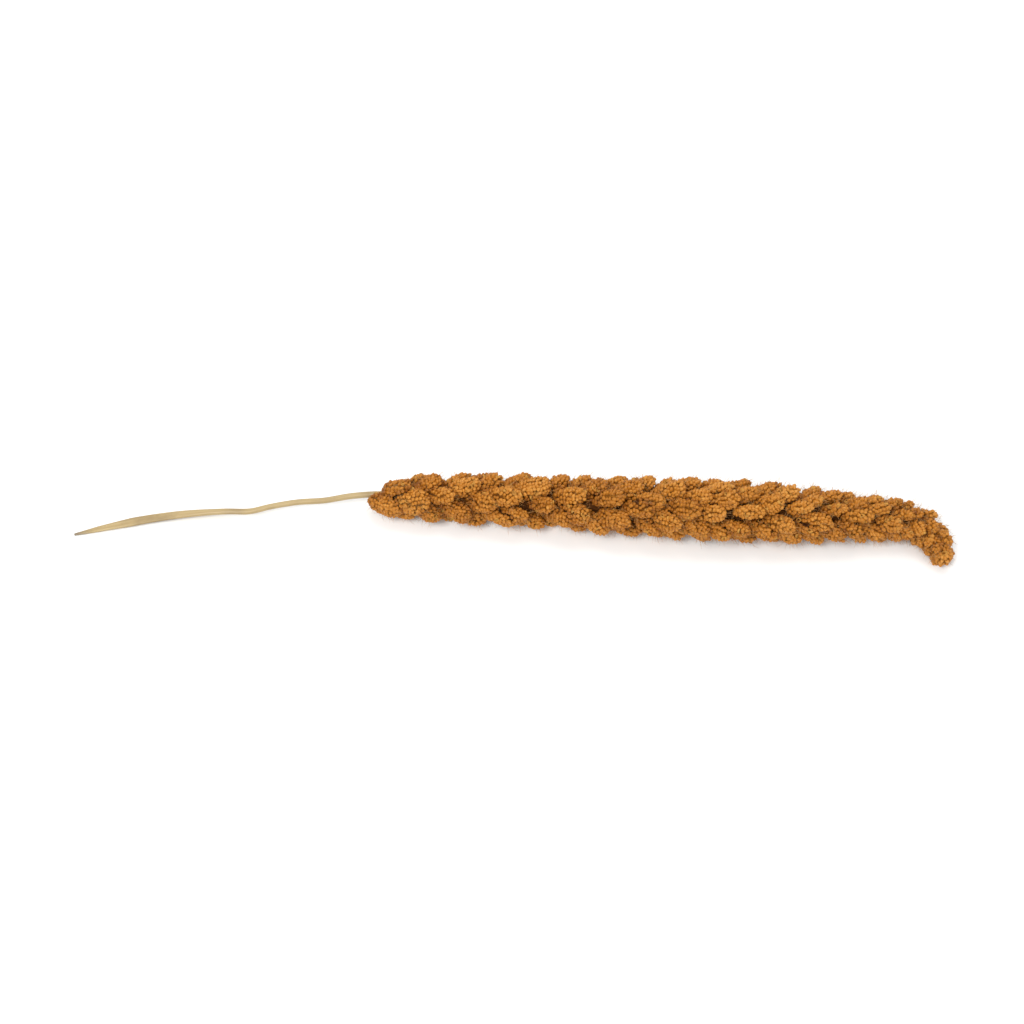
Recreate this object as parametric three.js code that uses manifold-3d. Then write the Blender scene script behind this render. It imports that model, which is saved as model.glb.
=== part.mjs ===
// A head of foxtail millet, cut with its stalk and dried, lying on its side.
//
// The head is a spike: a central stem set all round with short branches, and each branch ends in a lobe, a
// tight cluster of small grains. The lobes lean towards the tip and crowd like the strands of a rope, with
// deep gaps between them. The stalk goes on from the bottom of the head as a thin straw, flattened and
// narrow towards its cut end.
//
// Millimetres, +Z up. The head runs along +X to its tip, which hooks round towards -Y, and the stalk runs
// back along -X. The origin is on the surface that it lies on, under the middle of the whole.

import * as THREE from "three";
import { mergeVertices } from "three/addons/utils/BufferGeometryUtils.js";
import Module from "manifold-3d";

const { degToRad, lerp, clamp, euclideanModulo } = THREE.MathUtils;

const HEAD_LENGTH = 207; // from the lowest lobe to the tip, round the hook

// The way that the central stem heads, seen from above: [distance from the bottom, degrees from +X].
const HEADING = [
  [0, -7],
  [25, -4],
  [50, -2.5],
  [72, -5.5],
  [95, -3.5],
  [150, -1.8],
  [180, -0.5],
  [187, -12],
  [194, -48],
  [200, -76],
  [207, -92],
];

// Tables that run along the head: [distance from the bottom, value]. The first is the radius over the tops
// of the lobes, and the second is the radius of the woody core that they are rooted in.
const HEAD_RADIUS = [
  [0, 7.2],
  [14, 8.4],
  [40, 9.3],
  [64, 9.7],
  [90, 10.6],
  [120, 11.0],
  [146, 10.1],
  [161, 8.8],
  [176, 7.8],
  [188, 7.0],
  [198, 5.6],
  [207, 4.8],
];
const CORE_RADIUS = [
  [-1, 2.0],
  [14, 3.2],
  [83, 4.4],
  [149, 4.1],
  [192, 2.7],
  [204, 2.0],
  [207, 0.8],
];
const LOBE_LENGTH = [
  [0, 12.0],
  [20, 13.4],
  [93, 13.4],
  [155, 12.2],
  [190, 9.0],
  [207, 7.0],
];
const LOBE_WIDTH = [
  [0, 8.0],
  [20, 7.2],
  [93, 6.8],
  [155, 5.6],
  [207, 4.0],
];
// Degrees between a lobe and the central stem.
const LOBE_LEAN = [
  [0, 18],
  [25, 28],
  [60, 28],
  [180, 24],
  [207, 34],
];
const LOBE_DEPTH = 0.85; // as a share of its width
const LOBE_TAPER = 0.1; // how much wider a lobe is at its outer end than at its middle
const LOBE_FULLNESS = 2.5; // 2 for an egg, more for a boxier shape
const LOBE_COVER = 1.0; // surface that one lobe has to itself, as a share of its length times its width
const FIRST_LOBE = 4.5; // from the bottom of the head to the middle of its lowest lobe
const LAST_LOBE = 202; // the side lobes end here, and one more sits on the very tip
const TIP_LOBE = { length: 10.5, width: 7.4 };

// How far lobes differ, as shares of their size and of their length, and in degrees.
const SPREAD = { size: 0.18, shape: 0.1, place: 0.16, turn: 12, lean: 10 };
const GOLDEN_ANGLE = 137.508;
const FIRST_TURN = 180; // degrees round the stem to the lowest lobe, from its left
const DRAW_SEED = 20;

// The grains: the head's surface is a net of three-cornered faces, and every third point of it stands out.
const NET_ROUND = 36; // points round the head, a multiple of three
const NET_SQUAT = 0.88; // the way between two rings, as a share of the way between two points of a ring
const GRAIN_TOP = 0.3; // as a share of the way between two points of a ring
const GRAIN_FURROW = 0.22;

const PRESSED = 0.9; // how far the lowest lobes are pressed flat where the head lies

// The stalk's middle line, from its cut end to the bottom of the head: [along, across, up].
const STALK_LINE = [
  [-105.4, -12.9, 0.5],
  [-94.2, -10.0, 0.65],
  [-80.4, -7.0, 1.0],
  [-66.2, -5.2, 1.7],
  [-53.0, -4.8, 2.6],
  [-43.5, -5.0, 3.3],
  [-38.0, -3.7, 3.7],
  [-27.7, -2.1, 4.4],
  [-18.0, -1.7, 5.0],
  [-9.0, -0.2, 5.4],
];
const STALK_IN_HEAD = 11;
// Half its width and half its thickness, as [share of its length, half width, half thickness].
const STALK_SECTION = [
  [0, 0.4, 0.35],
  [0.07, 1.1, 0.55],
  [0.17, 1.7, 0.7],
  [0.3, 1.5, 0.8],
  [0.42, 1.1, 0.9],
  [0.6, 1.0, 0.95],
  [1, 1.1, 1.1],
];
const STALK_RINGS = 40;
const STALK_SIDES = 12;
const CLEARANCE = 0.3; // between the stalk and the head round it

// Reads a table at a place, straight between its rows.
function readTable(table, place, column = 1) {
  const next = table.findIndex(([at]) => at >= place);
  if (next < 0) return table.at(-1)[column];
  if (next === 0) return table[0][column];
  const before = table[next - 1];
  const after = table[next];
  return lerp(before[column], after[column], (place - before[0]) / (after[0] - before[0]));
}

// Seeded random numbers from -1 to 1, the same on each run.
function seededDraws(seed) {
  let state = seed;
  return () => {
    state = (state + 0x6d2b79f5) | 0;
    let mixed = Math.imul(state ^ (state >>> 15), 1 | state);
    mixed = (mixed + Math.imul(mixed ^ (mixed >>> 7), 61 | mixed)) ^ mixed;
    return (((mixed ^ (mixed >>> 14)) >>> 0) / 4294967296) * 2 - 1;
  };
}

// The central stem, laid out step by step along its heading.
const STEM_STEP = 0.5;
const stemPoints = [new THREE.Vector3()];
for (let place = 0; place < HEAD_LENGTH; place += STEM_STEP) {
  const heading = degToRad(readTable(HEADING, place + STEM_STEP / 2));
  const step = new THREE.Vector3(Math.cos(heading), Math.sin(heading), 0);
  stemPoints.push(stemPoints.at(-1).clone().addScaledVector(step, STEM_STEP));
}

// The stem's place and directions at a distance from the bottom of the head, and a little beyond its ends.
// The head lies on the surface all along, so the stem is about one radius up.
function stemFrame(distance) {
  const place = clamp(distance, 0, HEAD_LENGTH);
  const index = Math.min(Math.floor(place / STEM_STEP), stemPoints.length - 2);
  const heading = degToRad(readTable(HEADING, place));
  const forward = new THREE.Vector3(Math.cos(heading), Math.sin(heading), 0);
  const left = new THREE.Vector3(-Math.sin(heading), Math.cos(heading), 0);
  const point = stemPoints[index].clone().lerp(stemPoints[index + 1], place / STEM_STEP - index);
  point.addScaledVector(forward, distance - place);
  point.z = readTable(HEAD_RADIUS, place) - PRESSED;
  return { point, left, up: new THREE.Vector3(0, 0, 1) };
}

// Carries a point from a straight stem along x to the bent one.
function bend(distance, around, radius) {
  const { point, left, up } = stemFrame(distance);
  point.addScaledVector(left, radius * Math.cos(around));
  return point.addScaledVector(up, radius * Math.sin(around));
}

// A lobe on a straight stem along x: an egg with its wide end outwards, whose top reaches the given radius.
function makeLobe(place, around, lean, radius, length, width) {
  const outward = new THREE.Vector3(0, Math.cos(around), Math.sin(around));
  const along = new THREE.Vector3(Math.cos(lean), 0, 0).addScaledVector(outward, Math.sin(lean));
  const across = new THREE.Vector3(0, -Math.sin(around), Math.cos(around));
  const deep = new THREE.Vector3().crossVectors(along, across);
  const half = new THREE.Vector3(length / 2, width / 2, (width * LOBE_DEPTH) / 2);
  const reach = Math.hypot(half.x * Math.sin(lean), half.z * Math.cos(lean));
  const centre = outward.clone().multiplyScalar(Math.max(radius - reach, 0)).setX(place);
  return { centre, along, across, deep, half };
}

// The lobes in the order that they grow, each turned on from the last by the golden angle.
function growLobes() {
  const draw = seededDraws(DRAW_SEED);
  const lobes = [];
  for (let distance = FIRST_LOBE; distance < LAST_LOBE; ) {
    const radius = readTable(HEAD_RADIUS, distance);
    const size = 1 + SPREAD.size * draw();
    const length = size * readTable(LOBE_LENGTH, distance);
    const width = size * (1 + SPREAD.shape * draw()) * readTable(LOBE_WIDTH, distance);
    const around = degToRad(FIRST_TURN + lobes.length * GOLDEN_ANGLE + SPREAD.turn * draw());
    const lean = degToRad(readTable(LOBE_LEAN, distance) + SPREAD.lean * draw());
    const place = distance + SPREAD.place * length * draw();
    lobes.push(makeLobe(place, around, lean, radius, length, width));
    distance += (LOBE_COVER * length * width) / (2 * Math.PI * radius);
  }
  lobes.push(makeLobe(HEAD_LENGTH - TIP_LOBE.length / 2, 0, 0, 0, TIP_LOBE.length, TIP_LOBE.width));
  return lobes;
}

function isInLobe(lobe, point) {
  const from = point.clone().sub(lobe.centre);
  const x = from.dot(lobe.along) / lobe.half.x;
  const swell = 1 + LOBE_TAPER * x;
  const y = from.dot(lobe.across) / (lobe.half.y * swell);
  const z = from.dot(lobe.deep) / (lobe.half.z * swell);
  return [x, y, z].reduce((sum, share) => sum + Math.abs(share) ** LOBE_FULLNESS, 0) < 1;
}

// The head's radius at a distance along the stem and a turn round it: the outermost lobe there, or else the
// core. It is felt for from outside the tallest lobe inwards.
const lobes = growLobes();
const FEEL_FROM = 3;
const FEEL_STEP = 0.1;
function surfaceRadius(distance, around) {
  const core = readTable(CORE_RADIUS, distance);
  const near = lobes.filter((lobe) => Math.abs(lobe.centre.x - distance) < lobe.half.x);
  const outward = new THREE.Vector3(0, Math.cos(around), Math.sin(around));
  for (let radius = readTable(HEAD_RADIUS, distance) + FEEL_FROM; radius > core; radius -= FEEL_STEP) {
    const point = outward.clone().multiplyScalar(radius).setX(distance);
    if (near.some((lobe) => isInLobe(lobe, point))) return radius;
  }
  return core;
}

// A closed skin with a lathe's faces, where place(ring, turn) gives each point. The first and the last ring
// are single points.
function skin(rings, sides, place) {
  const last = rings - 1;
  const profile = Array.from({ length: rings }, (_, ring) => {
    return new THREE.Vector2(ring === 0 || ring === last ? 0 : 1, ring);
  });
  const geometry = new THREE.LatheGeometry(profile, sides);
  const points = geometry.attributes.position;
  for (let i = 0; i < points.count; i++) {
    const point = place(i % rings, Math.floor(i / rings) % sides);
    points.setXYZ(i, point.x, point.y, point.z);
  }
  return geometry;
}

// The head: a net laid over the lobes, each ring turned half a step from the one before, with every third
// point raised as a grain.
function headGeometry() {
  const turnStep = (2 * Math.PI) / NET_ROUND;
  const ringPlaces = [];
  for (let distance = CORE_RADIUS[0][0]; distance < HEAD_LENGTH; ) {
    ringPlaces.push(distance);
    distance += NET_SQUAT * turnStep * readTable(HEAD_RADIUS, distance);
  }
  const last = ringPlaces.length;
  return skin(last + 2, NET_ROUND, (ring, turn) => {
    if (ring === 0) return stemFrame(ringPlaces[0]).point;
    if (ring > last) return stemFrame(HEAD_LENGTH).point;
    const distance = ringPlaces[ring - 1];
    const around = (turn + ring / 2) * turnStep;
    const isTop = euclideanModulo(turn - ring, 3) === 0;
    const relief = turnStep * readTable(HEAD_RADIUS, distance) * (isTop ? GRAIN_TOP : -GRAIN_FURROW);
    const point = bend(distance, around, surfaceRadius(distance, around) + relief);
    point.z = Math.max(point.z, 0); // pressed flat by what it lies on
    return point;
  });
}

// The stalk, or the hollow that it stands in if spare is the clearance round it.
const stalkCurve = new THREE.CatmullRomCurve3([
  ...STALK_LINE.map((point) => new THREE.Vector3(...point)),
  stemFrame(0).point,
  stemFrame(STALK_IN_HEAD).point,
]);
function stalkGeometry(spare = 0) {
  return skin(STALK_RINGS, STALK_SIDES, (ring, turn) => {
    const share = clamp((ring - 1) / (STALK_RINGS - 3), 0, 1);
    const point = stalkCurve.getPointAt(share);
    const forward = stalkCurve.getTangentAt(share);
    if (ring === 0) return point.addScaledVector(forward, -spare);
    if (ring === STALK_RINGS - 1) return point.addScaledVector(forward, spare);
    const left = new THREE.Vector3(0, 0, 1).cross(forward).normalize();
    const up = forward.clone().cross(left);
    const around = (turn * 2 * Math.PI) / STALK_SIDES;
    const halfWidth = readTable(STALK_SECTION, share, 1) + spare;
    const halfThickness = readTable(STALK_SECTION, share, 2) + spare;
    point.addScaledVector(left, halfWidth * Math.cos(around));
    return point.addScaledVector(up, halfThickness * Math.sin(around));
  });
}

// Closed shapes as the solids that the library joins and cuts, and back.
const library = await Module();
library.setup();
const SAME_POINT = 1e-4;

function toSolid(geometry) {
  const bare = geometry.clone();
  bare.deleteAttribute("normal");
  bare.deleteAttribute("uv");
  const merged = mergeVertices(bare, SAME_POINT);
  return new library.Manifold(
    new library.Mesh({
      numProp: 3,
      vertProperties: merged.attributes.position.array,
      triVerts: new Uint32Array(merged.index.array),
    }),
  );
}

function toGeometry(solid) {
  const { vertProperties, triVerts } = solid.getMesh();
  return new THREE.BufferGeometry()
    .setAttribute("position", new THREE.BufferAttribute(vertProperties, 3))
    .setIndex(new THREE.BufferAttribute(triVerts, 1));
}

const seedHead = new THREE.Mesh(
  toGeometry(toSolid(headGeometry()).subtract(toSolid(stalkGeometry(CLEARANCE)))),
  new THREE.MeshStandardMaterial({ color: "#ac7336", roughness: 0.85, metalness: 0 }),
);
seedHead.name = "seed_head";

const stalk = new THREE.Mesh(
  stalkGeometry(),
  new THREE.MeshStandardMaterial({ color: "#cdb98a", roughness: 0.6, metalness: 0 }),
);
stalk.name = "stalk";

const millet = new THREE.Group();
millet.add(seedHead, stalk);

// Brings the middle of the whole over the origin.
const middle = new THREE.Box3().setFromObject(millet, true).getCenter(new THREE.Vector3());
for (const mesh of millet.children) mesh.position.set(-middle.x, -middle.y, 0);

export default millet;
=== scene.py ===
# A dried head of foxtail millet with its stalk, lying on its side. The shapes are worked out in millimetres,
# on a straight stem along x, and then bent into the line of the real one.

import math

import bpy
import numpy as np
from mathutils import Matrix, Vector


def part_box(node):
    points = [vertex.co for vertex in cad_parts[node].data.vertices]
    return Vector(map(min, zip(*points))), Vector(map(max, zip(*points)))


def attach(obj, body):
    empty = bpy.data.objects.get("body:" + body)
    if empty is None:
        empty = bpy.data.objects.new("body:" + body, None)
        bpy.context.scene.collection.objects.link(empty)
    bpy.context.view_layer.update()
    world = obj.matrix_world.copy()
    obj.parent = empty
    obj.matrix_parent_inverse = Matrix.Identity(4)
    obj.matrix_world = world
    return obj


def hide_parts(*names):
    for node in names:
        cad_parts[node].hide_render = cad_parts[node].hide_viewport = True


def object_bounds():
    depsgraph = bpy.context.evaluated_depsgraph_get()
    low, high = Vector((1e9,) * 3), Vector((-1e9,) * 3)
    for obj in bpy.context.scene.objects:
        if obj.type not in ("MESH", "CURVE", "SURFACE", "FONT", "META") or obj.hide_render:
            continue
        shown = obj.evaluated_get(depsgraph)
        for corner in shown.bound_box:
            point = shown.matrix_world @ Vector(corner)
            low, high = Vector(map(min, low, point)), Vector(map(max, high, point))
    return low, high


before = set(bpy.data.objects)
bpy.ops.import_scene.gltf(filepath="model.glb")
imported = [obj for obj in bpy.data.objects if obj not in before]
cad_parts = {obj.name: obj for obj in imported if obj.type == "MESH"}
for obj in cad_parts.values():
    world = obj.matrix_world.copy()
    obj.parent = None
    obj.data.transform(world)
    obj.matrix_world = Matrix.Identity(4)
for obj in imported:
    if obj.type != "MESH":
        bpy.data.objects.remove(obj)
cad_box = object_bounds()


# The central stem. A ridged straw runs up the middle of the head, closely set with the stubs of its
# branches. It grew as one with the stalk, is pale where it enters the head, and further in is brown chaff
# darkened with painted shade.

MILLIMETRES = 1000  # in a metre

HEAD_LENGTH = 207  # from the lowest lobe to the tip, round the hook
PRESSED = 0.9  # how far the lowest lobes are pressed flat

# The tables run along the head, as (distance from its bottom, value). HEADING is degrees from +X.
HEADING = [(0, -7), (25, -4), (50, -2.5), (72, -5.5), (95, -3.5), (150, -1.8), (180, -0.5),
           (187, -12), (194, -48), (200, -76), (207, -92)]
HEAD_RADIUS = [(0, 7.2), (14, 8.4), (40, 9.3), (64, 9.7), (90, 10.6), (120, 11.0), (146, 10.1),
               (161, 8.8), (176, 7.8), (188, 7.0), (198, 5.6), (207, 4.8)]
CORE_RADIUS = [(-1, 2.0), (14, 3.2), (83, 4.4), (149, 4.1), (192, 2.7), (204, 2.0), (207, 0.8)]

# The bottom of the head, measured from the low corner of the stalk's node.
STALK_REACH = 105.5
STALK_SIDEWAYS = 13.29
stalk_low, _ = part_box("stalk")
FOOT = np.array([stalk_low.x * MILLIMETRES + STALK_REACH, stalk_low.y * MILLIMETRES + STALK_SIDEWAYS])


def read_table(table, place):
    """A table's value at each place, straight between its rows."""
    return np.interp(place, [row[0] for row in table], [row[1] for row in table])


STEM_STEP = 0.5  # between the points of the bent stem's middle line
stem_places = np.arange(0, HEAD_LENGTH + STEM_STEP, STEM_STEP)
step_headings = np.radians(read_table(HEADING, stem_places[:-1] + STEM_STEP / 2))
stem_x = FOOT[0] + STEM_STEP * np.concatenate([[0], np.cumsum(np.cos(step_headings))])
stem_y = FOOT[1] + STEM_STEP * np.concatenate([[0], np.cumsum(np.sin(step_headings))])


def turn_with_stem(directions, distances):
    """Turns directions from the straight stem to the bent one, at those distances along it."""
    heading = np.radians(read_table(HEADING, np.clip(distances, 0, HEAD_LENGTH)))
    cosine = np.cos(heading)
    sine = np.sin(heading)
    x = directions[..., 0] * cosine - directions[..., 1] * sine
    y = directions[..., 0] * sine + directions[..., 1] * cosine
    return np.stack([x, y, directions[..., 2]], axis=-1)


def bend(points):
    """Carries points from the straight stem to the bent one. None goes below the surface it lies on."""
    place = np.clip(points[..., 0], 0, HEAD_LENGTH)
    beyond = np.stack([points[..., 0] - place, points[..., 1], points[..., 2]], axis=-1)
    moved = turn_with_stem(beyond, place)
    moved[..., 0] += np.interp(place, stem_places, stem_x)
    moved[..., 1] += np.interp(place, stem_places, stem_y)
    moved[..., 2] += read_table(HEAD_RADIUS, place) - PRESSED
    moved[..., 2] = np.maximum(moved[..., 2], 0)
    return moved


def around(sides):
    """Turns at even steps round a circle."""
    return np.arange(sides) / sides * 2 * math.pi


def linear(colour):
    """An sRGB hex colour as linear red, green, blue and alpha."""
    parts = [int(colour[i:i + 2], 16) / 255 for i in (1, 3, 5)]
    return [p / 12.92 if p < 0.04045 else ((p + 0.055) / 1.055) ** 2.4 for p in parts] + [1]


def add_node(tree, kind, values=None, links=None, **settings):
    """Adds a node with its settings, the values of its inputs, and the outputs that feed its inputs."""
    node = tree.nodes.new(kind)
    for name, value in settings.items():
        setattr(node, name, value)
    for socket, value in (values or {}).items():
        node.inputs[socket].default_value = value
    for socket, output in (links or {}).items():
        tree.links.new(output, node.inputs[socket])
    return node


# The sockets of a mix of colours go by number, because its names repeat.
MIX_SHARE = 0
MIX_UNDER = 6
MIX_OVER = 7
MIXED = 2


def new_material(name):
    """An empty node material and its tree."""
    material = bpy.data.materials.new(name)
    material.use_nodes = True
    material.node_tree.nodes.clear()
    return material, material.node_tree


def make_piece(name, points, faces, material, slot, node, **attributes):
    """Makes a smooth mesh piece from points in millimetres. Each attribute has a value for each point."""
    mesh = bpy.data.meshes.new(name)
    mesh.from_pydata((np.asarray(points) / MILLIMETRES).tolist(), [], faces)
    for attribute, values in attributes.items():
        layer = mesh.attributes.new(attribute, "FLOAT", "POINT")
        layer.data.foreach_set("value", np.asarray(values, np.float32))
    mesh.shade_smooth()
    mesh.materials.append(material)
    piece = bpy.data.objects.new(name, mesh)
    bpy.context.scene.collection.objects.link(piece)
    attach(piece, "root")
    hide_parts(node)


def tube_faces(rings, sides):
    """Faces round a row of rings, closed at both ends."""
    faces = []
    for ring in range(rings - 1):
        for side in range(sides):
            low = ring * sides
            after = (side + 1) % sides
            faces.append((low + side, low + sides + side, low + sides + after, low + after))
    faces.append(tuple(range(sides)))
    faces.append(tuple(reversed(range((rings - 1) * sides, rings * sides))))
    return faces


# Millet chaff: dry and matt, and brown under the grains. Painted shade darkens it towards a near-black brown
# in the grooves and pockets between the lobes, near the stem, and on the stem and branches. Paler straw shows
# at the bottom of the head.
CHAFF_DARK = "#6d400f"
CHAFF_LIGHT = "#966020"
# Painted shade: the near-black brown laid on chaff deep in the head, in the pockets and grooves.
PAINTED_POCKET_SHADE = "#452410"
STRAW_IN_HEAD = "#c9a873"
CHAFF_SCRAP = 0.9  # one scrap of chaff
SCRAP_EDGES = (0.38, 0.62)  # in the pattern: where a scrap is darkest, and where it is lightest
CHAFF_RELIEF = 0.3

chaff, tree = new_material("dry chaff")
coordinates = add_node(tree, "ShaderNodeTexCoord")
scraps = add_node(tree, "ShaderNodeTexNoise", {"Scale": MILLIMETRES / CHAFF_SCRAP, "Detail": 3},
                  {"Vector": coordinates.outputs["Object"]})
scattered = add_node(tree, "ShaderNodeMapRange", {"From Min": SCRAP_EDGES[0], "From Max": SCRAP_EDGES[1]},
                     {"Value": scraps.outputs["Fac"]})
browns = add_node(tree, "ShaderNodeMix", {MIX_UNDER: linear(CHAFF_DARK), MIX_OVER: linear(CHAFF_LIGHT)},
                  {MIX_SHARE: scattered.outputs["Result"]}, data_type="RGBA")
# The attribute deep says how much painted shade each point of the chaff gets.
depth = add_node(tree, "ShaderNodeAttribute", attribute_name="deep")
shaded = add_node(tree, "ShaderNodeMix", {MIX_OVER: linear(PAINTED_POCKET_SHADE)},
                  {MIX_SHARE: depth.outputs["Fac"], MIX_UNDER: browns.outputs[MIXED]}, data_type="RGBA")
paleness = add_node(tree, "ShaderNodeAttribute", attribute_name="straw")
paled = add_node(tree, "ShaderNodeMix", {MIX_OVER: linear(STRAW_IN_HEAD)},
                 {MIX_SHARE: paleness.outputs["Fac"], MIX_UNDER: shaded.outputs[MIXED]}, data_type="RGBA")
relief = add_node(tree, "ShaderNodeBump", {"Distance": CHAFF_RELIEF / MILLIMETRES},
                  {"Height": scattered.outputs["Result"]})
surface = add_node(tree, "ShaderNodeBsdfPrincipled", {"Roughness": 0.9, "Specular IOR Level": 0.1},
                   {"Base Color": paled.outputs[MIXED], "Normal": relief.outputs["Normal"]})
add_node(tree, "ShaderNodeOutputMaterial", links={"Surface": surface.outputs["BSDF"]})

STEM_SIDES = 24
STEM_RING_STEP = 0.9
STEM_STOPS = 3  # before the tip
STEM_SHARE = 0.9  # of the core's radius, the rest is the roots of the branches
STEM_RIDGES = 8
STEM_RIDGE_HEIGHT = 0.06  # as a share of its radius
STEM_TWIST = 9  # along the stem, for one radian of the wave that makes the ridges
STEM_NECK = [(-1, 0.5), (7, 1)]  # it starts no thicker than the stalk
STEM_ROUGHNESS = 0.13  # random, for the stubs of the branches, as a share of its radius
STEM_SHADE = 0.8  # painted shade over the whole stem, as it is always deep in the head
STEM_SEED = 3
STRAW_FADES = 16  # from the bottom of the head to where the stem is brown

stem_rings = np.arange(CORE_RADIUS[0][0], HEAD_LENGTH - STEM_STOPS, STEM_RING_STEP)
ring_at, turn_at = np.meshgrid(stem_rings, around(STEM_SIDES), indexing="ij")
ridged = 1 + STEM_RIDGE_HEIGHT * np.cos(STEM_RIDGES * turn_at + ring_at / STEM_TWIST)
ridged += STEM_ROUGHNESS * np.random.default_rng(STEM_SEED).uniform(-1, 1, ridged.shape)
radius = STEM_SHARE * read_table(CORE_RADIUS, ring_at) * read_table(STEM_NECK, ring_at) * ridged
stem_points = np.stack([ring_at, radius * np.cos(turn_at), radius * np.sin(turn_at)], axis=-1).reshape(-1, 3)
make_piece("central_stem", bend(stem_points), tube_faces(len(stem_rings), STEM_SIDES), chaff,
           "grains", "seed_head", straw=np.clip(1 - stem_points[:, 0] / STRAW_FADES, 0, 1),
           deep=np.full(len(stem_points), STEM_SHADE))


# The lobes. Each short side branch of the stem ends in a crowded cluster of grains, an egg with its wide
# end outwards. They grow one after the other round the stem by the golden angle, and lean to the tip.

LOBE_LENGTH = [(0, 12.0), (20, 13.4), (93, 13.4), (155, 12.2), (190, 9.0), (207, 7.0)]
LOBE_WIDTH = [(0, 8.0), (20, 7.2), (93, 6.8), (155, 5.6), (207, 4.0)]
LOBE_LEAN = [(0, 18), (25, 28), (60, 28), (180, 24), (207, 34)]  # degrees from the stem
LOBE_DEPTH = 0.85  # as a share of its width
LOBE_TAPER = 0.1  # how much it is widened towards its outer end, and narrowed towards its root
LEAST_SWELL = 0.1  # keeps the taper above nothing far behind a lobe
LOBE_FULLNESS = 2.5  # 2 for an egg, more for a boxier shape
LOBE_COVER = 1.0  # surface that one has to itself, as a share of its length times its width
FIRST_LOBE = 4.5  # from the bottom of the head to the middle of its lowest lobe
LAST_LOBE = 202
TIP_LOBE = {"length": 10.5, "width": 7.4}
# How far lobes differ, as shares of their size and of their length, and in degrees.
LOBE_SPREAD = {"size": 0.18, "shape": 0.1, "place": 0.16, "turn": 12, "lean": 10}
GOLDEN_ANGLE = 137.508
FIRST_TURN = 180  # degrees round the stem to the lowest lobe
LOBE_SEED = 20
WORD = 0xFFFFFFFF  # 32 bits


def seeded_draws(seed):
    """Seeded random numbers from -1 to 1, by the same rule and constants as the solid head's."""
    state = seed
    while True:
        state = (state + 0x6D2B79F5) & WORD
        mixed = ((state ^ (state >> 15)) * (1 | state)) & WORD
        mixed = (mixed + (((mixed ^ (mixed >> 7)) * (61 | mixed)) & WORD)) & WORD ^ mixed
        yield ((mixed ^ (mixed >> 14)) & WORD) / 2**32 * 2 - 1


def make_lobe(place, turn, lean, radius, length, width):
    """A lobe's middle, its three directions and its half sizes along them, on the straight stem."""
    outward = np.array([0, math.cos(turn), math.sin(turn)])
    along = np.array([math.cos(lean), 0, 0]) + math.sin(lean) * outward
    across = np.array([0, -math.sin(turn), math.cos(turn)])
    half = np.array([length / 2, width / 2, width * LOBE_DEPTH / 2])
    reach = math.hypot(half[0] * math.sin(lean), half[2] * math.cos(lean))
    centre = outward * max(radius - reach, 0) + np.array([place, 0, 0])
    return {"centre": centre, "axes": np.array([along, across, np.cross(along, across)]), "half": half}


def grow_lobes():
    """The lobes in the order that they grow, and one on the very tip."""
    draws = seeded_draws(LOBE_SEED)
    lobes = []
    distance = FIRST_LOBE
    while distance < LAST_LOBE:
        radius = read_table(HEAD_RADIUS, distance)
        size = 1 + LOBE_SPREAD["size"] * next(draws)
        length = size * read_table(LOBE_LENGTH, distance)
        width = size * (1 + LOBE_SPREAD["shape"] * next(draws)) * read_table(LOBE_WIDTH, distance)
        turn = math.radians(FIRST_TURN + len(lobes) * GOLDEN_ANGLE + LOBE_SPREAD["turn"] * next(draws))
        lean = math.radians(read_table(LOBE_LEAN, distance) + LOBE_SPREAD["lean"] * next(draws))
        place = distance + LOBE_SPREAD["place"] * length * next(draws)
        lobes.append(make_lobe(place, turn, lean, radius, length, width))
        distance += LOBE_COVER * length * width / (2 * math.pi * radius)
    middle = HEAD_LENGTH - TIP_LOBE["length"] / 2
    lobes.append(make_lobe(middle, 0, 0, 0, TIP_LOBE["length"], TIP_LOBE["width"]))
    return lobes


def out_of_lobe(lobe, local, depth):
    """Points given in shares of a lobe's half sizes, on the straight stem and that deep under its outside."""
    swell = 1 + LOBE_TAPER * local[:, :1]
    sized = local * (lobe["half"] - depth) * np.hstack([np.ones_like(swell), swell, swell])
    return lobe["centre"] + sized @ lobe["axes"]


def depth_in_lobe(lobe, points):
    """How far out points are in a lobe: 0 in its middle and 1 on its surface."""
    local = (points - lobe["centre"]) @ lobe["axes"].T / lobe["half"]
    swell = np.maximum(1 + LOBE_TAPER * local[:, 0], LEAST_SWELL)
    local[:, 1] /= swell
    local[:, 2] /= swell
    return (np.abs(local) ** LOBE_FULLNESS).sum(axis=1) ** (1 / LOBE_FULLNESS)


def lobe_section(x):
    """The half width of a lobe of size 1 at x along it, as a share of its widest."""
    return np.maximum(1 - np.abs(x) ** LOBE_FULLNESS, 0) ** (1 / LOBE_FULLNESS)


def ring_of_lobe(x, turns):
    """Points round a lobe of size 1 at x along it."""
    y = lobe_section(x) * np.sign(np.cos(turns)) * np.abs(np.cos(turns)) ** (2 / LOBE_FULLNESS)
    z = lobe_section(x) * np.sign(np.sin(turns)) * np.abs(np.sin(turns)) ** (2 / LOBE_FULLNESS)
    return np.stack([np.full_like(y, x), y, z], axis=-1)


lobes = grow_lobes()

NEAR_LOBES = 15  # lobes further apart along the stem than this can't touch
GROOVE_DEPTHS = (0.9, 1.25)  # in the nearest other lobe: where a lobe's painted shade is full, and where it ends
UNDER_DEPTHS = (0.5, 0.8)  # the same, as shares of the head's radius


def depth_in_others(number, points):
    """How far out points of a lobe are in the nearest of the other lobes."""
    depth = np.full(len(points), GROOVE_DEPTHS[1])
    for other, neighbour in enumerate(lobes):
        if other != number and abs(neighbour["centre"][0] - lobes[number]["centre"][0]) < NEAR_LOBES:
            depth = np.minimum(depth, depth_in_lobe(neighbour, points))
    return depth


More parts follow.
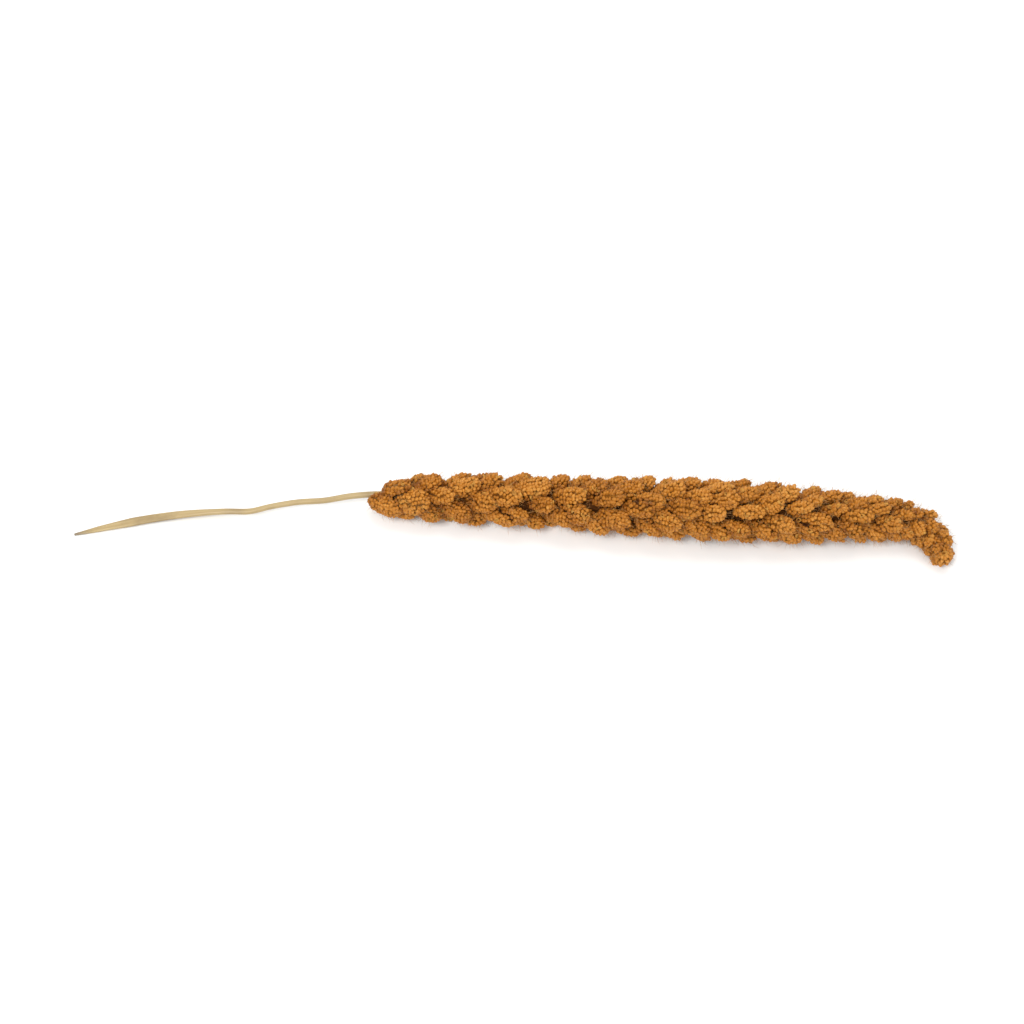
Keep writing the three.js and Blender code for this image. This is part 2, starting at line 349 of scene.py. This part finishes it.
def shade_at(number, points):
    """How much painted shade points of a lobe get, by how deep they are in the head: 0 in the open, 1 in the
    grooves and near the stem.
    """
    groove = np.interp(depth_in_others(number, points), GROOVE_DEPTHS, [1, 0])
    height = np.hypot(points[:, 1], points[:, 2]) / read_table(HEAD_RADIUS, points[:, 0])
    before_tip = points[:, 0] < HEAD_LENGTH - TIP_LOBE["length"]
    return np.maximum(groove, np.interp(height, UNDER_DEPTHS, [1, 0]) * before_tip)


# Under the grains a lobe is a brush of branchlets and chaff, and each hangs on its own branch. Both are
# palest at the bottom of the head.
HEART_DEPTH = 0.88  # under the lobe's outside
HEART_SIDES = 12
HEART_PLACES = [-0.97, -0.8, -0.5, -0.1, 0.3, 0.6, 0.85, 0.97]  # of its rings, from root to outer end
HEART_PALENESS = [(0, 0.25), (25, 0)]
BRANCH_SIDES = 8
BRANCH_RADII = [0.9, 0.75, 0.6]
BRANCH_START = 0.75  # behind the lobe's middle, as a share of half its length
BRANCH_PALENESS = [(0, 1), (36, 0.1)]

heart_points = []
heart_faces = []
heart_straw = []
heart_shade = []


def add_to_hearts(points, faces, straw, deep):
    """Adds one shape to the piece that holds the hearts and the branches."""
    start = len(heart_straw)
    heart_points.append(points)
    heart_faces.extend(tuple(start + corner for corner in face) for face in faces)
    heart_straw.extend([straw] * len(points))
    heart_shade.extend(deep)


branch_turns = around(BRANCH_SIDES)
for number, lobe in enumerate(lobes):
    rings = np.concatenate([ring_of_lobe(x, around(HEART_SIDES)) for x in HEART_PLACES])
    heart = out_of_lobe(lobe, rings, HEART_DEPTH)
    # Painted shade: a heart is darkened in the grooves and near the stem.
    add_to_hearts(heart, tube_faces(len(HEART_PLACES), HEART_SIDES),
                  read_table(HEART_PALENESS, lobe["centre"][0]), shade_at(number, heart))
    start = lobe["centre"] * [1, 0, 0] - [BRANCH_START * lobe["half"][0], 0, 0]
    _, across, deep = lobe["axes"]
    branch = np.concatenate([
        point + radius * (np.outer(np.cos(branch_turns), across) + np.outer(np.sin(branch_turns), deep))
        for point, radius in zip(np.linspace(start, lobe["centre"], len(BRANCH_RADII)), BRANCH_RADII)])
    # Painted shade: each branch lies deep in the head and is darkened fully, under its straw paleness.
    add_to_hearts(branch, tube_faces(len(BRANCH_RADII), BRANCH_SIDES),
                  read_table(BRANCH_PALENESS, lobe["centre"][0]), np.ones(len(branch)))

make_piece("lobe_hearts", bend(np.concatenate(heart_points)), heart_faces, chaff,
           "grains", "seed_head", straw=heart_straw, deep=heart_shade)


# The grains. Each spikelet is one grain in its smooth, hard hull, about 2 mm long, held in a cup of papery
# glumes at its base. They sit close together wherever a lobe is open, and point outwards and to the tip.

GRAIN_LENGTH = 1.9
GRAIN_WIDTH = 1.42
GRAIN_THICKNESS = 1.3
GRAIN_PITCH = 1.3  # between neighbours
GRAIN_DEPTH = 0.7  # a grain's middle under its lobe's outside
GRAIN_SUNK = 0.88  # a grain deeper than this in another lobe is left out
GRAIN_SHADE = 0.34  # painted shade: how much darker grains are in the grooves and near the stem
GRAIN_TILT = math.radians(38)  # from straight out, to the tip
# How far grains differ: in size as a share, in place, and in aim as a share of a step along it.
GRAIN_SPREAD = {"size": 0.1, "place": 0.17, "aim": 0.3}
GRAIN_SEED = 7
CORE_SEEN = 0.8  # nearer the stem than this share of the core, no grain can be seen
LOBE_TONES = (0.62, 0.08)  # the middle and the spread of the lobes' tones, from 0 dark to 1 pale
GRAIN_TONES = 0.08  # the spread of the grains on a lobe
SPENT_SHARE = 0.035  # of the spikelets, that have dropped their grain

# A spikelet from its foot to its tip: share of the length, share of the half width, and 1 on the glumes.
FULL_SPIKELET = [(0.07, 0.6, 1), (0.36, 1.07, 1), (0.33, 0.92, 0), (0.64, 0.98, 0), (0.9, 0.52, 0)]
FULL_TIP = 1
SPENT_SPIKELET = [(0.07, 0.5, 1), (0.4, 0.95, 1), (0.75, 1.2, 1), (0.72, 1.05, 1), (0.35, 0.7, 1)]
SPENT_TIP = 0.15  # the inside of an empty cup
SPIKELET_SIDES = 8
SPIKELET_NERVES = 0.035  # how far the nerves along a spikelet stand out
GLUME_SLANT = 0.3  # the cup reaches further up on one side
STRETCHES = 7  # the head is split into pieces of this number

spikelet_turns = around(SPIKELET_SIDES)
spikelet_nerves = np.cos(SPIKELET_SIDES / 2 * spikelet_turns)


def make_spikelet(profile, tip):
    """A spikelet's points round its middle, its foot towards -x, from the rows of its profile."""
    points = [[0, 0, 0]]
    for share, half, glume in profile:
        for turn, nerve in zip(spikelet_turns, spikelet_nerves):
            reach = share * (1 + GLUME_SLANT * glume * math.cos(turn))
            ridged = half * (1 + SPIKELET_NERVES * nerve)
            points.append([reach, ridged * math.cos(turn), ridged * math.sin(turn)])
    points.append([tip, 0, 0])
    return (np.array(points) - [0.5, 0, 0]) * [GRAIN_LENGTH, GRAIN_WIDTH / 2, GRAIN_THICKNESS / 2]


full_spikelet = make_spikelet(FULL_SPIKELET, FULL_TIP)
spent_spikelet = make_spikelet(SPENT_SPIKELET, SPENT_TIP)
spikelet_size = len(full_spikelet)
spikelet_glume = np.concatenate([[1], np.repeat([row[2] for row in FULL_SPIKELET], SPIKELET_SIDES), [0]])
spikelet_nerve = np.concatenate([[0], np.tile(spikelet_nerves, len(FULL_SPIKELET)), [0]])
spikelet_faces = []
last = spikelet_size - 1
for side in range(SPIKELET_SIDES):
    after = (side + 1) % SPIKELET_SIDES
    spikelet_faces.append((0, 1 + after, 1 + side))
    spikelet_faces.append((last, last - SPIKELET_SIDES + side, last - SPIKELET_SIDES + after))
    for ring in range(len(FULL_SPIKELET) - 1):
        low = 1 + ring * SPIKELET_SIDES
        high = low + SPIKELET_SIDES
        spikelet_faces.append((low + side, low + after, high + after, high + side))

random = np.random.default_rng(GRAIN_SEED)
FINE_PLACES = 200  # to measure the way over a lobe
FEWEST_ROWS = 4
FEWEST_IN_ROW = 3


def unit(vectors):
    """The vectors, each brought to a length of 1."""
    return vectors / np.linalg.norm(vectors, axis=-1, keepdims=True)


def seats_on(lobe):
    """Places for grains in even rows round a lobe, with the way that its surface faces at each."""
    fine = np.linspace(-1, 1, FINE_PLACES)
    half_length = lobe["half"][0] - GRAIN_DEPTH
    mean_half = lobe["half"][1:].mean() - GRAIN_DEPTH
    outline = lobe_section(fine) * (1 + LOBE_TAPER * fine)
    run = np.hypot(np.diff(fine * half_length), np.diff(outline * mean_half))
    travelled = np.concatenate([[0], np.cumsum(run)])
    rows = max(round(travelled[-1] / (GRAIN_PITCH * math.sqrt(3) / 2)), FEWEST_ROWS)
    local = []
    for row in range(rows):
        x = np.interp((row + 0.5) / rows * travelled[-1], travelled, fine)
        girth = 2 * math.pi * np.interp(x, fine, outline) * mean_half
        count = max(round(girth / GRAIN_PITCH), FEWEST_IN_ROW)
        turns = (np.arange(count) + random.uniform(0, 1)) / count * 2 * math.pi
        local.append(ring_of_lobe(x, turns))
    local.append([[1, 0, 0]])
    local = np.concatenate(local)
    slope = np.sign(local) * np.abs(local) ** (LOBE_FULLNESS - 1) / lobe["half"]
    seats = out_of_lobe(lobe, local, GRAIN_DEPTH)
    return seats + random.normal(0, GRAIN_SPREAD["place"], seats.shape), unit(slope @ lobe["axes"])


grain_seats = []
grain_aims = []
grain_tones = []
for number, lobe in enumerate(lobes):
    seats, facing = seats_on(lobe)
    seen = np.hypot(seats[:, 1], seats[:, 2]) > read_table(CORE_RADIUS, seats[:, 0]) * CORE_SEEN
    seen &= depth_in_others(number, seats) > GRAIN_SUNK
    seats = seats[seen]
    aims = unit(facing[seen] * math.cos(GRAIN_TILT) + lobe["axes"][0] * math.sin(GRAIN_TILT))
    aims = unit(aims + random.normal(0, GRAIN_SPREAD["aim"], aims.shape))
    lobe_tone = random.normal(*LOBE_TONES)
    # Each grain's tone differs at random, less painted shade where it lies deep in the head.
    tones = random.normal(lobe_tone, GRAIN_TONES, len(seats)) - GRAIN_SHADE * shade_at(number, seats)
    grain_seats.append(seats)
    grain_aims.append(aims)
    grain_tones.append(tones)
grain_seats = np.concatenate(grain_seats)
grain_aims = np.concatenate(grain_aims)
grain_tones = np.concatenate(grain_tones)

# Foxtail millet hulls: hard and smooth, orange brown, with a soft gloss. The glumes are thin, papery, paler
# and matt, and wrap the foot of each grain.
# The tone attribute holds each grain's random tone, less its painted shade where it lies deep in the head.
HULL_TONES = [(0.0, "#6b3604"), (0.3, "#965910"), (0.6, "#b5721e"), (1.0, "#cd8f3e")]
GLUME_COLOUR = "#c08c40"
GLUME_SHOWS = 0.6  # its share, where the hull's colour shines through
SPENT_SHOWS = 1.6  # how much more on an empty cup, which has no hull in it
HULL_ROUGHNESS = 0.5
GLUME_ROUGHNESS = 0.85
NERVE_SHADE = 0.12  # how much paler the nerves are
MOTTLE_SIZE = 0.8  # one shade on a hull
MOTTLE_SPREAD = 0.25  # of the tones
WRINKLE_SIZE = 0.3  # the hull's fine cross wrinkles, drawn three times too coarse to show
WRINKLE_HEIGHT = 0.04

hull, tree = new_material("millet hull")
coordinates = add_node(tree, "ShaderNodeTexCoord")
tone = add_node(tree, "ShaderNodeAttribute", attribute_name="tone")
mottle = add_node(tree, "ShaderNodeTexNoise", {"Scale": MILLIMETRES / MOTTLE_SIZE, "Detail": 2},
                  {"Vector": coordinates.outputs["Object"]})
mottled = add_node(tree, "ShaderNodeMath", {1: MOTTLE_SPREAD, 2: -MOTTLE_SPREAD / 2},
                   {0: mottle.outputs["Fac"]}, operation="MULTIPLY_ADD")
toned = add_node(tree, "ShaderNodeMath", {}, {0: tone.outputs["Fac"], 1: mottled.outputs[0]},
                 operation="ADD")
nerve = add_node(tree, "ShaderNodeAttribute", attribute_name="nerve")
nerved = add_node(tree, "ShaderNodeMath", {1: NERVE_SHADE}, {0: nerve.outputs["Fac"], 2: toned.outputs[0]},
                  operation="MULTIPLY_ADD", use_clamp=True)
hues = add_node(tree, "ShaderNodeValToRGB", {}, {"Fac": nerved.outputs[0]})
for position, colour in HULL_TONES[1:-1]:
    hues.color_ramp.elements.new(position)
for element, (position, colour) in zip(hues.color_ramp.elements, HULL_TONES):
    element.position = position
    element.color = linear(colour)
glume = add_node(tree, "ShaderNodeAttribute", attribute_name="glume")
papery = add_node(tree, "ShaderNodeMath", {1: GLUME_SHOWS}, {0: glume.outputs["Fac"]}, operation="MULTIPLY")
coloured = add_node(tree, "ShaderNodeMix", {MIX_OVER: linear(GLUME_COLOUR)},
                    {MIX_SHARE: papery.outputs[0], MIX_UNDER: hues.outputs["Color"]}, data_type="RGBA")
dullness = add_node(tree, "ShaderNodeMapRange", {"To Min": HULL_ROUGHNESS, "To Max": GLUME_ROUGHNESS},
                    {"Value": glume.outputs["Fac"]})
wrinkles = add_node(tree, "ShaderNodeTexNoise", {"Scale": MILLIMETRES / WRINKLE_SIZE, "Detail": 1},
                    {"Vector": coordinates.outputs["Object"]})
relief = add_node(tree, "ShaderNodeBump", {"Distance": WRINKLE_HEIGHT / MILLIMETRES, "Strength": 0.6},
                  {"Height": wrinkles.outputs["Fac"]})
surface = add_node(tree, "ShaderNodeBsdfPrincipled", {"IOR": 1.5, "Specular IOR Level": 0.3},
                   {"Base Color": coloured.outputs[MIXED], "Roughness": dullness.outputs["Result"],
                    "Normal": relief.outputs["Normal"]})
add_node(tree, "ShaderNodeOutputMaterial", links={"Surface": surface.outputs["BSDF"]})

aims = turn_with_stem(grain_aims, grain_seats[:, 0])
middles = bend(grain_seats)
middles[:, 2] = np.maximum(middles[:, 2], GRAIN_THICKNESS / 2)
sides = unit(np.cross(aims, unit(random.normal(0, 1, aims.shape))))
backs = np.cross(aims, sides)
sizes = 1 + GRAIN_SPREAD["size"] * random.uniform(-1, 1, len(middles))
spent = random.uniform(0, 1, len(middles)) < SPENT_SHARE
stretch_of = np.minimum((grain_seats[:, 0] / HEAD_LENGTH * STRETCHES).astype(int), STRETCHES - 1)
for stretch in range(STRETCHES):
    chosen = np.flatnonzero(stretch_of == stretch)
    shapes = np.where(spent[chosen, None, None], spent_spikelet, full_spikelet)
    turned = (shapes[..., :1] * aims[chosen, None] + shapes[..., 1:2] * sides[chosen, None]
              + shapes[..., 2:] * backs[chosen, None])
    points = middles[chosen, None] + turned * sizes[chosen, None, None]
    points[..., 2] = np.maximum(points[..., 2], 0)
    faces = [tuple(start + corner for corner in face)
             for start in range(0, len(chosen) * spikelet_size, spikelet_size) for face in spikelet_faces]
    make_piece(f"grains_{stretch + 1}", points.reshape(-1, 3), faces, hull, "grains", "seed_head",
               tone=np.repeat(grain_tones[chosen], spikelet_size),
               glume=np.where(spent[chosen, None], SPENT_SHOWS, spikelet_glume).reshape(-1),
               nerve=np.tile(spikelet_nerve, len(chosen)))


# The bristles. A stiff hair or two grows at the foot of each grain and reaches past it, most seen at the
# edges of the head. The real ones are under 0.1 mm thick. These are a little thicker, so that they show,
# and stand by about half of the grains.

BRISTLE_SHARE = [(0, 0.45), (140, 0.5), (190, 0.9)]  # of the grains that have one, along the head
BRISTLE_ROOM = 0.4  # how far they reach past the solid head
BRISTLE_LENGTH = (2.6, 4.6)
BRISTLE_RADIUS = 0.055
BRISTLE_CORNERS = 3
BRISTLE_FOOT = 0.4  # beside the grain's middle
BRISTLE_KNEE = 0.55  # of its length, where it is bent
BRISTLE_TAPER = 0.8  # its thickness at the knee, as a share of that at its foot
BRISTLE_STRAY = 0.35  # from the way that its grain points
BRISTLE_BEND = 0.25  # at the knee

bristled = np.flatnonzero(random.uniform(0, 1, len(middles)) < read_table(BRISTLE_SHARE, grain_seats[:, 0]))
lengths = random.uniform(*BRISTLE_LENGTH, len(bristled))[:, None]
bristle_feet = middles[bristled] + BRISTLE_FOOT * sides[bristled]
bristle_aims = unit(aims[bristled] + random.normal(0, BRISTLE_STRAY, (len(bristled), 3)))
bristle_knees = bristle_feet + BRISTLE_KNEE * lengths * bristle_aims
bent_aims = unit(bristle_aims + random.normal(0, BRISTLE_BEND, bristle_aims.shape))
bristle_tips = bristle_knees + (1 - BRISTLE_KNEE) * lengths * bent_aims
low = np.array(cad_box[0]) * MILLIMETRES - [BRISTLE_ROOM, BRISTLE_ROOM, -2 * BRISTLE_RADIUS]
high = np.array(cad_box[1]) * MILLIMETRES + BRISTLE_ROOM
kept = np.all([(ends > low) & (ends < high) for ends in (bristle_knees, bristle_tips)], axis=(0, 2))
bristle_points = []
for foot, knee, tip, out, back in zip(bristle_feet[kept], bristle_knees[kept], bristle_tips[kept],
                                      sides[bristled][kept], backs[bristled][kept]):
    corners = [BRISTLE_RADIUS * (math.cos(turn) * out + math.sin(turn) * back)
               for turn in around(BRISTLE_CORNERS)]
    bristle_points += [foot + corner for corner in corners]
    bristle_points += [knee + BRISTLE_TAPER * corner for corner in corners]
    bristle_points.append(tip)
bristle_faces = []
bristle_size = 2 * BRISTLE_CORNERS + 1
for start in range(0, len(bristle_points), bristle_size):
    a, b, c, d, e, f, tip = range(start, start + bristle_size)
    bristle_faces += [(c, b, a), (a, b, e, d), (b, c, f, e), (c, a, d, f)]
    bristle_faces += [(d, e, tip), (e, f, tip), (f, d, tip)]

# Millet bristle: a dry, stiff plant hair, golden brown with a dull shine.
BRISTLE_COLOUR = "#b98a52"

hair, tree = new_material("millet bristle")
surface = add_node(tree, "ShaderNodeBsdfPrincipled",
                   {"Base Color": linear(BRISTLE_COLOUR), "Roughness": 0.6})
add_node(tree, "ShaderNodeOutputMaterial", links={"Surface": surface.outputs["BSDF"]})
make_piece("bristles", bristle_points, bristle_faces, hair, "grains", "seed_head")


# The stalk. A length of dry straw, round by the head, crushed flat further back, and narrowed to a blunt
# point where it was cut. It runs on into the head as the central stem.

# Its middle line, from the cut end: the way along and aside from the bottom of the head, and the height.
STALK_LINE = [(-105.4, -12.9, 0.5), (-94.2, -10.0, 0.65), (-80.4, -7.0, 1.0), (-66.2, -5.2, 1.7),
              (-53.0, -4.8, 2.6), (-43.5, -5.0, 3.3), (-38.0, -3.7, 3.7), (-27.7, -2.1, 4.4),
              (-18.0, -1.7, 5.0), (-9.0, -0.2, 5.4), (0, 0, 6.3), (10.9, -1.2, 7.2)]
# These run along it from 0 at the cut end to 1 in the head.
STALK_HALF_WIDTH = [(0, 0.4), (0.07, 1.1), (0.17, 1.7), (0.3, 1.5), (0.42, 1.1), (0.6, 1.0), (1, 1.1)]
STALK_HALF_THICKNESS = [(0, 0.35), (0.07, 0.55), (0.17, 0.7), (0.3, 0.8), (0.42, 0.9), (0.6, 0.95), (1, 1.1)]
STALK_SIDES = 32
STALK_RINGS = 200
STALK_RIDGES = 10
STALK_RIDGE_HEIGHT = 0.03  # as a share of its thickness
STALK_CREASE = 0.45  # where it is crushed its middle is sunk in, and its edges are round
CREASE_NARROWNESS = 6  # the more, the narrower the sunk middle
STALK_LOWEST = 0.02  # over the surface that it lies on

# The middle line runs smoothly through the points, with the slope at each taken from its neighbours.
line = np.array(STALK_LINE, float)
line[:, :2] += FOOT
gaps = np.linalg.norm(np.diff(line, axis=0), axis=1)
knots = np.concatenate([[0], np.cumsum(gaps)])
slopes = np.gradient(line, knots, axis=0)
along = np.linspace(0, knots[-1], STALK_RINGS)
index = np.clip(np.searchsorted(knots, along) - 1, 0, len(gaps) - 1)
span = gaps[index][:, None]
share = ((along - knots[index]) / gaps[index])[:, None]
middle_line = ((1 + 2 * share) * (1 - share)**2 * line[index]
               + share * (1 - share)**2 * span * slopes[index]
               + share**2 * (3 - 2 * share) * line[index + 1]
               - share**2 * (1 - share) * span * slopes[index + 1])
forward = unit(np.gradient(middle_line, axis=0))
left = unit(np.cross([0, 0, 1], forward))
up = np.cross(forward, left)

shares = along / along[-1]
half_width = read_table(STALK_HALF_WIDTH, shares)[:, None]
half_thick = read_table(STALK_HALF_THICKNESS, shares)[:, None]
turns = around(STALK_SIDES)
ridged = 1 + STALK_RIDGE_HEIGHT * np.cos(STALK_RIDGES * turns)
crushed = np.clip(half_width / half_thick - 1, 0, 1)
sunk = 1 - STALK_CREASE * crushed * np.abs(np.sin(turns)) ** CREASE_NARROWNESS
stalk_points = (middle_line[:, None]
                + (half_width * np.cos(turns) * ridged)[..., None] * left[:, None]
                + (half_thick * np.sin(turns) * ridged * sunk)[..., None] * up[:, None])
stalk_points[..., 2] = np.maximum(stalk_points[..., 2], STALK_LOWEST)

# Dry straw: smooth, waxy and pale, with fibres that run along it as fine streaks, darker stains, and a
# greyed end where it was cut. Real fibres are about 0.1 mm wide. They are drawn three times as wide to show.
STRAW_TONES = ("#957849", "#c2ad7e")
STRAW_SHADE = "#776245"
CUT_COLOUR = "#716250"
CUT_FADES = 0.06  # of the stalk's length, the part that has gone grey at the cut
CUT_GREY = 0.8
FIBRE_WIDTH = 0.35
FIBRE_LENGTH = 20
FIBRE_RELIEF = 0.1
STAIN_SIZE = 9
STAIN_EDGES = (0.47, 0.72)  # in the pattern: where a stain begins, and where it is full
STAIN_STRENGTH = 0.65

straw, tree = new_material("dry straw")
coordinates = add_node(tree, "ShaderNodeTexCoord")
lengthwise = add_node(tree, "ShaderNodeAttribute", attribute_name="along")
sideways = add_node(tree, "ShaderNodeAttribute", attribute_name="left")
upwards = add_node(tree, "ShaderNodeAttribute", attribute_name="up")
laid = add_node(tree, "ShaderNodeCombineXYZ", {},
                {"X": lengthwise.outputs["Fac"], "Y": sideways.outputs["Fac"], "Z": upwards.outputs["Fac"]})
fibre_scale = (MILLIMETRES / FIBRE_LENGTH, MILLIMETRES / FIBRE_WIDTH, MILLIMETRES / FIBRE_WIDTH)
stretched = add_node(tree, "ShaderNodeMapping", {"Scale": fibre_scale}, {"Vector": laid.outputs["Vector"]})
fibres = add_node(tree, "ShaderNodeTexNoise", {"Scale": 1.0, "Detail": 4},
                  {"Vector": stretched.outputs["Vector"]})
pale = add_node(tree, "ShaderNodeMix", {MIX_UNDER: linear(STRAW_TONES[0]), MIX_OVER: linear(STRAW_TONES[1])},
                {MIX_SHARE: fibres.outputs["Fac"]}, data_type="RGBA")
stains = add_node(tree, "ShaderNodeTexNoise", {"Scale": MILLIMETRES / STAIN_SIZE, "Detail": 3},
                  {"Vector": coordinates.outputs["Object"]})
spread = add_node(tree, "ShaderNodeMapRange",
                  {"From Min": STAIN_EDGES[0], "From Max": STAIN_EDGES[1], "To Max": STAIN_STRENGTH},
                  {"Value": stains.outputs["Fac"]})
stained = add_node(tree, "ShaderNodeMix", {MIX_OVER: linear(STRAW_SHADE)},
                   {MIX_SHARE: spread.outputs["Result"], MIX_UNDER: pale.outputs[MIXED]}, data_type="RGBA")
cut = add_node(tree, "ShaderNodeAttribute", attribute_name="cut")
greyed = add_node(tree, "ShaderNodeMix", {MIX_OVER: linear(CUT_COLOUR)},
                  {MIX_SHARE: cut.outputs["Fac"], MIX_UNDER: stained.outputs[MIXED]}, data_type="RGBA")
relief = add_node(tree, "ShaderNodeBump", {"Distance": FIBRE_RELIEF / MILLIMETRES, "Strength": 0.5},
                  {"Height": fibres.outputs["Fac"]})
surface = add_node(tree, "ShaderNodeBsdfPrincipled", {"Roughness": 0.42, "IOR": 1.5},
                   {"Base Color": greyed.outputs[MIXED], "Normal": relief.outputs["Normal"]})
add_node(tree, "ShaderNodeOutputMaterial", links={"Surface": surface.outputs["BSDF"]})

make_piece("stalk_straw", stalk_points.reshape(-1, 3), tube_faces(STALK_RINGS, STALK_SIDES), straw,
           "straw", "stalk",
           cut=np.repeat(np.interp(shares, [0, CUT_FADES], [CUT_GREY, 0]), STALK_SIDES),
           along=np.repeat(along / MILLIMETRES, STALK_SIDES),
           left=(half_width * np.cos(turns)).reshape(-1) / MILLIMETRES,
           up=(half_thick * np.sin(turns)).reshape(-1) / MILLIMETRES)


# The setting: a pale floor, soft studio light, and the camera where the photograph was taken from, a little
# over half a metre away and 60 degrees above the head.

FLOOR_SIDE = 8  # in metres

bpy.ops.mesh.primitive_plane_add(size=FLOOR_SIDE, location=(0, 0, 0))
floor = bpy.context.object
floor.name = "floor"

# White paper: pressed from bleached pulp, matt and a little warm, so that it shows soft shadows and no gloss.
PAPER_COLOUR = "#f4f3f0"

paper, tree = new_material("white paper")
surface = add_node(tree, "ShaderNodeBsdfPrincipled", {"Base Color": linear(PAPER_COLOUR), "Roughness": 0.9})
add_node(tree, "ShaderNodeOutputMaterial", links={"Surface": surface.outputs["BSDF"]})
floor.data.materials.append(paper)

LIGHTS = [  # name, place, side in metres, watts
    ("key", (-0.45, -0.35, 0.9), 0.5, 7),
    ("fill", (0.7, -0.6, 0.5), 0.8, 2.5),
    ("top", (0.1, 0.5, 0.9), 0.6, 4),
]
for name, place, side, watts in LIGHTS:
    light = bpy.data.lights.new(name, "AREA")
    light.size = side
    light.energy = watts
    lamp = bpy.data.objects.new(name, light)
    lamp.location = place
    lamp.rotation_euler = (-Vector(place)).to_track_quat("-Z", "Y").to_euler()
    bpy.context.scene.collection.objects.link(lamp)

ROOM_COLOUR = "#eef1f5"
ROOM_LIGHT = 0.72
room = bpy.data.worlds.new("studio")
room.use_nodes = True
background = room.node_tree.nodes["Background"]
background.inputs["Color"].default_value = linear(ROOM_COLOUR)
background.inputs["Strength"].default_value = ROOM_LIGHT
bpy.context.scene.world = room
bpy.context.scene.view_settings.view_transform = "Standard"

CAMERA_AWAY = 0.51
CAMERA_ELEVATION = math.radians(60.1)
CAMERA_LENS = 52
CAMERA_NEAR = 0.01  # nothing nearer than this shows

aim = (cad_box[0] + cad_box[1]) / 2
back = Vector((0, -math.cos(CAMERA_ELEVATION), math.sin(CAMERA_ELEVATION)))
camera_data = bpy.data.cameras.new("camera")
camera_data.lens = CAMERA_LENS
camera_data.clip_start = CAMERA_NEAR
camera = bpy.data.objects.new("camera", camera_data)
camera.location = aim + back * CAMERA_AWAY
camera.rotation_euler = back.to_track_quat("Z", "Y").to_euler()
bpy.context.scene.collection.objects.link(camera)
bpy.context.scene.camera = camera
